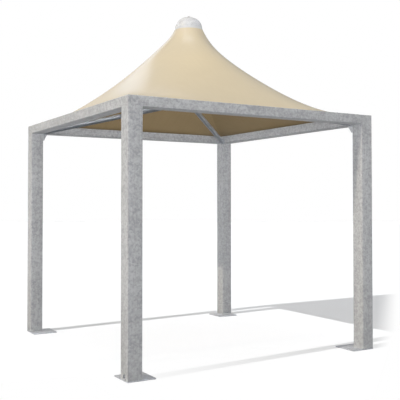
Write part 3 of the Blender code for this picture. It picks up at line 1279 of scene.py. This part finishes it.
@dataclass
class Canopy(SubAssembly):
    """The roof membrane: one sheet stretched from the square frame up to the round neck."""

    CLOTH: ClassVar[str] = "canopy_cloth"
    CLOTH_MAP: ClassVar[str] = "cloth"
    HEM_GROUP: ClassVar[str] = "hem"

    edge_half: float = 1.400
    hem_half: float = 1.440
    neck_radius: float = 0.163
    lip_radius: float = 0.118
    sides: int = 192
    rings: int = 72
    crowding: float = 1.5
    hem_thickness: float = 0.004
    cloth_share: float = 0.35
    sharp: float = 60.0
    square_terms: tuple[float, ...] = (0.07576, -0.07385, -0.00180, -0.00007)
    straightness: float = 1.1794
    round_trim: tuple[float, ...] = (0.0, 0.1324, -0.1434)
    corner_trim: tuple[float, ...] = (0.0632, -0.1307, -0.2081)
    flat: tuple[float, float] = (3.2, 3.2)
    flat_area: float = 9.97

    @property
    def edge_height(self) -> float:
        """The height of the cloth's upper face at the hem."""
        return cad_box("canopy_membrane")[0].z + self.hem_thickness

    @property
    def neck_height(self) -> float:
        """The height of the cloth's upper face at the neck."""
        return cad_box("canopy_membrane")[1].z

    def square_rise(self, distance: float, azimuth: float) -> float:
        """Return the rise of an evenly pulled sheet with a level square edge.

        Args:
            distance: The distance from the middle, in half widths of the square.
            azimuth: The direction from the middle, in radians.

        Returns:
            The rise, 0 at the edge.
        """
        rise = -math.log(distance)
        for fold, term in enumerate(self.square_terms):
            rise += term * distance ** (4 * fold) * math.cos(4 * fold * azimuth)
        return rise

    def height(self, radius: float, azimuth: float) -> float:
        """Return the height of the cloth's upper face at a radius and an azimuth.

        Args:
            radius: The distance from the middle.
            azimuth: The direction, in radians.

        Returns:
            The height above the ground.
        """
        top = self.square_rise(self.neck_radius / self.edge_half, 0.0)
        level = self.square_rise(radius / self.edge_half, azimuth) / top
        funnel = math.expm1(-self.straightness * level) / math.expm1(-self.straightness)
        slide = 1.0 - 2.0 * level
        fold = math.cos(4.0 * azimuth)
        trim = sum((even + corner * fold) * slide ** power
                   for power, (even, corner) in enumerate(zip(self.round_trim, self.corner_trim)))
        share = funnel + level * (1.0 - level) * trim
        return self.edge_height + (self.neck_height - self.edge_height) * share

    @staticmethod
    def square_radius(half: float, azimuth: float) -> float:
        """Return the distance from the middle to the edge of a square."""
        return half / max(abs(math.cos(azimuth)), abs(math.sin(azimuth)))

    def ring_point(self, number: int, azimuth: float) -> Vector:
        """Return a point of a ring, from -1 at the hem's edge to one past the neck at the lip.

        Args:
            number: The ring's number.
            azimuth: The direction, in radians.

        Returns:
            The point.
        """
        edge = self.square_radius(self.edge_half, azimuth)
        if number < 0:
            radius, height = self.square_radius(self.hem_half, azimuth), self.edge_height
        elif number == 0:
            radius, height = edge, self.edge_height
        elif number > self.rings:
            radius, height = self.lip_radius, self.neck_height
        elif number == self.rings:
            radius, height = self.neck_radius, self.neck_height
        else:
            spread = (1.0 - number / self.rings) ** self.crowding
            radius = self.neck_radius + (edge - self.neck_radius) * spread
            height = self.height(radius, azimuth)
        return Vector((radius * math.cos(azimuth), radius * math.sin(azimuth), height))

    def build(self) -> None:
        shape = Shape()
        bm = shape.bm
        slope = bm.verts.layers.float.new("slope")
        bmesh.ops.create_circle(bm, segments=self.sides, radius=self.hem_half)
        ring, lines = bm.verts[:], bm.edges[:]
        hem = []
        for number in range(-1, self.rings + 2):
            if number >= 0:
                grown = bmesh.ops.extrude_edge_only(bm, edges=lines)["geom"]
                ring = [item for item in grown if isinstance(item, BMVert)]
                fresh = set(ring)
                lines = [item for item in grown if isinstance(item, BMEdge)
                         and fresh.issuperset(item.verts)]
            for vertex in ring:
                place = self.ring_point(number, math.atan2(vertex.co.y, vertex.co.x))
                if number >= 0:
                    vertex[slope] += (place - vertex.co).length
                vertex.co = place
            if number <= 0:
                hem += ring
        self.map_cloth(bm, slope)
        bm.verts.index_update()
        hem_numbers = [vertex.index for vertex in hem]
        sheet = shape.upward().piece(self.CLOTH, self.finishes.fabric, self.finishes.lining,
                                     sharp=self.sharp)
        sheet.vertex_groups.new(name=self.HEM_GROUP).add(hem_numbers, 1.0, "REPLACE")
        shell = sheet.modifiers.new("thickness", "SOLIDIFY")
        shell.thickness = self.hem_thickness
        shell.offset = -1.0
        shell.vertex_group = self.HEM_GROUP
        shell.thickness_vertex_group = self.cloth_share
        shell.material_offset = 1
        self.hand_over(sheet, Slot.FABRIC, "canopy_membrane")

    def map_cloth(self, bm: BMesh, slope: BMLayerItem) -> None:
        """Lay the cloth's map: across each side's panel, and up its slope, in metres.

        Args:
            bm: The sheet.
            slope: How far up the slope each point is.
        """
        cloth = bm.loops.layers.uv.new(self.CLOTH_MAP)
        for face in bm.faces:
            middle = face.calc_center_median()
            across = 0 if abs(middle.y) > abs(middle.x) else 1
            for loop in face.loops:
                loop[cloth].uv = (loop.vert.co[across], loop.vert[slope])


@dataclass
class DomeCap(SubAssembly):
    """The dome cap over the neck and the nut on its top."""

    steps: int = 96
    arc_steps: int = 28
    wall: float = 0.004
    hole_radius: float = 0.008
    nut_steps: int = 24
    nut_profile: Profile = ((0.0, 1.0), (0.35, 0.97), (0.62, 0.86), (0.86, 0.64), (1.0, 0.36),
                            (1.0, 0.0), (0.0, 0.0))

    def build(self) -> None:
        """Build the cap and the nut."""
        self.show(self.cap(), "dome_cap", Slot.PLASTIC, self.finishes.plastic)
        self.show(self.nut(), "cap_nut", Slot.ZINC, self.finishes.zinc)

    def cap(self) -> Shape:
        """Return the cap, one turned shell with a hole for the nut's stud.

        Returns:
            The shell.
        """
        low, high = cad_box("dome_cap")
        radius, height = high.x, high.z - low.z
        start = math.asin(self.hole_radius / radius)
        angles = [start + (0.5 * math.pi - start) * step / self.arc_steps
                  for step in range(self.arc_steps + 1)]
        top = height / math.cos(start)
        outer = [(radius * math.sin(angle), low.z + top * math.cos(angle)) for angle in angles]
        inner = [((radius - self.wall) * math.sin(angle), low.z + (top - self.wall) * math.cos(angle))
                 for angle in reversed(angles)]
        return Shape.revolved(outer + inner, self.steps, closed=True)

    def nut(self) -> Shape:
        """Return the domed nut, whose profile is in shares of its radius and its height.

        Returns:
            The turned nut.
        """
        low, high = cad_box("cap_nut")
        profile = [(across * high.x, low.z + up * (high.z - low.z)) for across, up in self.nut_profile]
        return Shape.revolved(profile, self.nut_steps)


@dataclass
class Welds(SubAssembly):
    """The weld beads at the feet and heads of the posts, the brackets and the struts."""

    struts: Struts
    posts: Posts
    fillet: float = 0.0035
    fillet_lift: float = 0.3
    groove: float = 0.0018
    groove_inset: float = 0.002
    ring: float = 0.0028
    pitch: float = 0.006
    point_step: float = 0.0020
    ripple: float = 0.16
    sharp: float = 70.0

    def build(self) -> None:
        """Build one piece of beads for each corner, and one for the hub."""
        for corner in Corner:
            runs = [*self.post_runs(corner), *self.bracket_runs(corner)]
            self.hand_over(self.beads(f"welds_{corner.label}", runs), Slot.STEEL)
        runs = [(self.strut_ring(corner, True), self.ring) for corner in Corner]
        self.hand_over(self.beads("welds_hub", runs), Slot.TUBE)

    def post_runs(self, corner: Corner) -> Iterable[Run]:
        """Return the runs round a post: fillets on its inner sides, grooves on its outer sides.

        Args:
            corner: The post's corner.

        Returns:
            The points of each run, with its bead's radius.
        """
        low, high = cad_box(f"post_{corner.label}")
        side_x, side_y = corner.value
        foot = cad_box(f"base_plate_{corner.label}")[1].z
        head = cad_box("beam_front")[0].z
        inner_x, outer_x = (low.x, high.x) if side_x > 0 else (high.x, low.x)
        inner_y, outer_y = (low.y, high.y) if side_y > 0 else (high.y, low.y)
        inset_x, inset_y = side_x * self.posts.corner_radius, side_y * self.posts.corner_radius
        lift = self.fillet_lift * self.fillet
        for at_x, at_y, level, radius in (
            (inner_x, inner_y, foot + lift, self.fillet),
            (inner_x, inner_y, head - lift, self.fillet),
            (outer_x - side_x * self.groove, outer_y - side_y * self.groove, foot, self.groove),
        ):
            yield self.run((at_x, outer_y - inset_y, level), (at_x, inner_y + inset_y, level)), radius
            yield self.run((outer_x - inset_x, at_y, level), (inner_x + inset_x, at_y, level)), radius

    def bracket_runs(self, corner: Corner) -> Iterable[Run]:
        """Return the runs of a bracket: up the post on both faces, and round the strut's foot.

        Args:
            corner: The bracket's corner.

        Returns:
            The points of each run, with its bead's radius.
        """
        struts = self.struts
        place = corner.inward(struts.inner_corner)
        half = 0.5 * struts.bracket_thickness
        along = half - self.groove_inset
        top = struts.beam_bottom
        for side in (-half, half):
            line = self.run((along, side, top - struts.bracket_drop), (along, side, top))
            yield [place @ point for point in line], self.groove
        yield self.strut_ring(corner, False), self.ring

    def strut_ring(self, corner: Corner, at_head: bool) -> list[Vector]:
        """Return the closed line where a strut meets the hub, or the corner between the beams.

        Args:
            corner: The strut's corner.
            at_head: Whether it is the hub's end.

        Returns:
            The points of the line, the first one again at its end.
        """
        struts = self.struts
        place = corner.inward(struts.inner_corner)
        radius = 0.5 * struts.diameter
        count = round(2.0 * math.pi * radius / self.point_step)
        line = []
        for number in range(count + 1):
            angle = 2.0 * math.pi * number / count
            across = radius * math.sin(angle)
            along = struts.head if at_head else abs(across) + struts.gap
            middle = struts.foot_height + struts.rise * along
            height = middle + radius * struts.stretch * math.cos(angle)
            line.append(place @ Vector((along, across, height)))
        return line

    def run(self, start: Sequence[float], end: Sequence[float]) -> list[Vector]:
        """Return evenly spaced points on a straight run.

        Args:
            start: The first point.
            end: The last point.

        Returns:
            The points.
        """
        start, end = Vector(start), Vector(end)
        count = max(2, round((end - start).length / self.point_step))
        return [start.lerp(end, number / count) for number in range(count + 1)]

    def beads(self, name: str, runs: Iterable[Run]) -> Object:
        """Return one piece with a rippled bead along each run.

        Args:
            name: The piece's name.
            runs: The points of each run, with its bead's radius.

        Returns:
            The piece.
        """
        curve = bpy.data.curves.new(name, "CURVE")
        curve.dimensions = "3D"
        curve.bevel_depth = 1.0
        curve.bevel_resolution = 1
        curve.use_fill_caps = True
        for points, radius in runs:
            spline = curve.splines.new("POLY")
            spline.points.add(len(points) - 1)
            travelled = 0.0
            for number, point in enumerate(points):
                travelled += (point - points[number - 1]).length if number else 0.0
                spline.points[number].co = (*point, 1.0)
                wave = math.sin(2.0 * math.pi * travelled / self.pitch)
                spline.points[number].radius = radius * (1.0 + self.ripple * wave)
        line = bpy.data.objects.new(name, curve)
        mesh = applied(line)
        bpy.data.objects.remove(line)
        shape = Shape()
        shape.bm.from_mesh(mesh)
        bmesh.ops.remove_doubles(shape.bm, verts=shape.bm.verts, dist=1e-6)
        return shape.piece(name, self.finishes.weld, sharp=self.sharp)


@dataclass(frozen=True)
class Glow:
    """A soft window in the sky: where it is and its half width, in degrees, and its light."""

    azimuth: float
    height: float
    width: float
    strength: float
    colour: Colour


@dataclass(frozen=True)
class Lamp:
    """A distant lamp: where its light comes from and how wide it looks, in degrees, and its light."""

    name: str
    azimuth: float
    height: float
    width: float
    strength: float
    colour: Colour


def towards(azimuth: float, height: float) -> Vector:
    """Return the direction with that azimuth and height in degrees.

    Args:
        azimuth: The angle from +X.
        height: The angle above the ground.

    Returns:
        The direction, of length 1.
    """
    azimuth, height = math.radians(azimuth), math.radians(height)
    return Vector((math.cos(azimuth) * math.cos(height), math.sin(azimuth) * math.cos(height),
                   math.sin(height)))


@dataclass
class Studio:
    """The floor, the light and the camera.

    KEY is the key's azimuth, height and width in degrees, which its three lamps share. The floor
    has one tone for the camera, one for its bounced light, and one for its reflections, which holds
    out to the shaded distances. Its fades to white are measured to the right and to the front.
    """

    KEY: ClassVar[tuple[float, float, float]] = (185.0, 32.3, 0.3)
    FILL_WIDTH: ClassVar[float] = 110.0
    FILL_COLOUR: ClassVar[Colour] = (0.955, 0.975, 1.0)

    eye: Point = (-4.1733, -7.2266, 1.5952)
    view_azimuth: float = -30.007
    view_rise: float = 1.3425
    lens: float = 62.84
    sensor: float = 36.0
    shift_x: float = 0.0283
    shift_y: float = -0.02785
    floor_radius: float = 60.0
    floor_sides: int = 96
    floor_shown: float = 0.74
    floor_bounce: float = 0.55
    floor_mirrored: float = 0.03
    shaded: Span = (6.0, 9.0)
    fade_right: Span = (2.95, 3.5)
    fade_right_slant: float = 1.066
    fade_front: Span = (0.5, 1.1)
    fade_front_share: float = 0.60
    fade_front_slant: float = 0.22
    key: Lamp = Lamp("key", *KEY, 1.95, (1.0, 0.89, 0.70))
    key_on_floor: Lamp = Lamp("key_on_floor", *KEY, 3.5, WHITE)
    key_on_cloth: Lamp = Lamp("key_on_cloth", *KEY, 0.80, (1.0, 0.96, 0.90))
    fills: tuple[Lamp, ...] = (
        Lamp("sky_fill", 242.0, 36.0, FILL_WIDTH, 1.75, FILL_COLOUR),
        Lamp("side_fill", 165.0, 6.0, FILL_WIDTH, 0.80, FILL_COLOUR),
        Lamp("rear_fill", 350.0, 5.0, FILL_WIDTH, 0.30, FILL_COLOUR),
    )
    sky_horizon: Colour = (0.405, 0.395, 0.375)
    sky_zenith: Colour = (0.385, 0.388, 0.398)
    sky_turn: Span = (0.45, 0.70)
    glow_core: float = 0.6
    glow_rim: float = 1.5
    glows: tuple[Glow, ...] = (
        Glow(85.0, 31.5, 9.5, 0.92, (0.71, 0.78, 0.92)),
        Glow(69.0, 17.0, 8.0, 0.32, (0.92, 0.76, 0.50)),
        Glow(60.0, 35.0, 9.0, 0.30, (0.86, 0.78, 0.72)),
        Glow(140.0, 83.0, 6.5, 1.9, (0.73, 0.78, 0.88)),
    )

    def build(self) -> None:
        """Set up everything round the gazebo."""
        bpy.context.scene.view_settings.view_transform = "Standard"
        floor = self.lay_floor()
        self.light_sky()
        self.hang_lamps(floor)
        self.stand_camera()

    def lay_floor(self) -> Object:
        """Lay a plain pale floor.

        Its bounced light is weaker than it looks, its reflection carries a painted shade under the
        roof, and what the camera sees of it glows white towards the front and the right, painting out
        the shadows there as it fades into the white backdrop.

        Returns:
            The floor.
        """
        shape = Shape()
        bmesh.ops.create_circle(shape.bm, cap_ends=True, segments=self.floor_sides,
                                radius=self.floor_radius)
        graph = Graph(bpy.data.materials.new("pale_floor"))
        ray = graph.node("LightPath").outputs
        east, north, _ = graph.parts(graph.place())
        # painted light: the floor glows white towards the right and the front, lightening the shadows
        # there
        fade = (east - self.fade_right_slant * north).step(*self.fade_right)
        front = (0.0 - north).step(*self.fade_front)
        fade = fade + front * (self.fade_front_share - self.fade_front_slant * east)
        seen = self.mixed(graph, fade, self.plain(graph, self.floor_shown),
                          graph.node("Emission").outputs[0])
        # painted shade: the floor's reflections are darker under the roof
        start, end = self.shaded
        beneath = 1.0 - (east * east + north * north).step(start ** 2, end ** 2)
        shader = self.mixed(graph, beneath * Signal(graph, ray["Is Glossy Ray"]),
                            self.plain(graph, self.floor_bounce),
                            self.plain(graph, self.floor_mirrored))
        shader = self.mixed(graph, ray["Is Camera Ray"], shader, seen)
        graph.node("OutputMaterial", sockets={"Surface": shader})
        floor = shape.upward().piece("floor", graph.owner)
        return floor

    @staticmethod
    def plain(graph: Graph, tone: float) -> NodeSocket:
        """Return a dull grey of that tone."""
        return graph.node("BsdfDiffuse", sockets={0: (tone, tone, tone)}).outputs[0]

    @staticmethod
    def mixed(graph: Graph, share: Signal | NodeSocket, first: NodeSocket,
              second: NodeSocket) -> NodeSocket:
        """Return two shaders mixed, all of the second where the share is 1."""
        return graph.node("MixShader", sockets={0: share, 1: first, 2: second}).outputs[0]

    @staticmethod
    def light(graph: Graph, colour: Colour | NodeSocket, strength: Signal | float = 1.0) -> NodeSocket:
        """Return the sky's light of that colour and strength."""
        return graph.node("Background", sockets={"Color": colour, "Strength": strength}).outputs[0]

    def light_sky(self) -> None:
        """Light the scene with a pale sky with soft windows in it, seen as plain white."""
        world = bpy.data.worlds.new("pale_sky")
        bpy.context.scene.world = world
        graph = Graph(world)
        place = graph.node("TexCoord").outputs["Generated"]
        height = graph.parts(place)[2]
        sky = self.light(graph, graph.colour(height.step(*self.sky_turn), self.sky_horizon,
                                             self.sky_zenith))
        for glow in self.glows:
            facing = graph.node("VectorMath", {"operation": "DOT_PRODUCT"},
                                {0: place, 1: towards(glow.azimuth, glow.height)})
            rim, core = (math.cos(math.radians(share * glow.width))
                         for share in (self.glow_rim, self.glow_core))
            near = Signal(graph, facing.outputs["Value"]).step(rim, core)
            window = self.light(graph, glow.colour, near * glow.strength)
            sky = graph.node("AddShader", sockets={0: sky, 1: window}).outputs[0]
        to_camera = graph.node("LightPath").outputs["Is Camera Ray"]
        shader = self.mixed(graph, to_camera, sky, self.light(graph, WHITE))
        graph.node("OutputWorld", sockets={"Surface": shader})

    def hang_lamps(self, floor: Object) -> None:
        """Hang the key, with a strength of its own on the floor and the cloth, and the soft fills.

        Args:
            floor: The floor, which the key lights by itself.
        """
        cloth = bpy.data.objects[Canopy.CLOTH]
        self.limit(self.hang(self.key), "EXCLUDE", floor, cloth)
        self.limit(self.hang(self.key_on_floor), "INCLUDE", floor)
        self.limit(self.hang(self.key_on_cloth), "INCLUDE", cloth)
        for fill in self.fills:
            data = self.hang(fill).data
            data.use_shadow = False
            data.cycles.use_multiple_importance_sampling = False

    @staticmethod
    def limit(lamp: Object, state: str, *items: Object) -> None:
        """Keep a lamp off some objects, or to them alone.

        Args:
            lamp: The lamp.
            state: EXCLUDE or INCLUDE.
            items: The objects.
        """
        reach = bpy.data.collections.new(f"{lamp.name}_reach")
        for item in items:
            reach.objects.link(item)
        for entry in reach.collection_objects:
            entry.light_linking.link_state = state
        lamp.light_linking.receiver_collection = reach

    @staticmethod
    def hang(lamp: Lamp) -> Object:
        """Hang one lamp.

        Args:
            lamp: The lamp's values.

        Returns:
            The lamp's object.
        """
        data = bpy.data.lights.new(lamp.name, "SUN")
        data.energy = lamp.strength
        data.angle = math.radians(lamp.width)
        data.color = lamp.colour
        made = bpy.data.objects.new(lamp.name, data)
        aim = -towards(lamp.azimuth, lamp.height)
        made.rotation_euler = aim.to_track_quat("-Z", "Y").to_euler()
        bpy.context.scene.collection.objects.link(made)
        return made

    def stand_camera(self) -> None:
        """Stand the camera where the photograph was taken from."""
        data = bpy.data.cameras.new("camera")
        data.lens = self.lens
        data.sensor_width = self.sensor
        data.shift_x = self.shift_x
        data.shift_y = self.shift_y
        camera = bpy.data.objects.new("camera", data)
        camera.location = self.eye
        turn = math.radians(90.0 + self.view_rise), 0.0, math.radians(self.view_azimuth)
        camera.rotation_euler = turn
        bpy.context.scene.collection.objects.link(camera)
        bpy.context.scene.camera = camera


def main() -> None:
    """Build every sub-assembly in order, then the studio round them."""
    logging.basicConfig(level=logging.INFO, format="%(name)s: %(message)s")
    finishes = Finishes.make()
    posts = Posts(finishes)
    struts = Struts(finishes)
    for assembly in (
        posts,
        BasePlates(finishes),
        TopFrame(finishes),
        struts,
        Mast(finishes),
        ClampBars(finishes),
        Canopy(finishes),
        DomeCap(finishes),
        Welds(finishes, struts, posts),
    ):
        assembly.build()
    Studio().build()


if __name__ == "__main__":
    main()
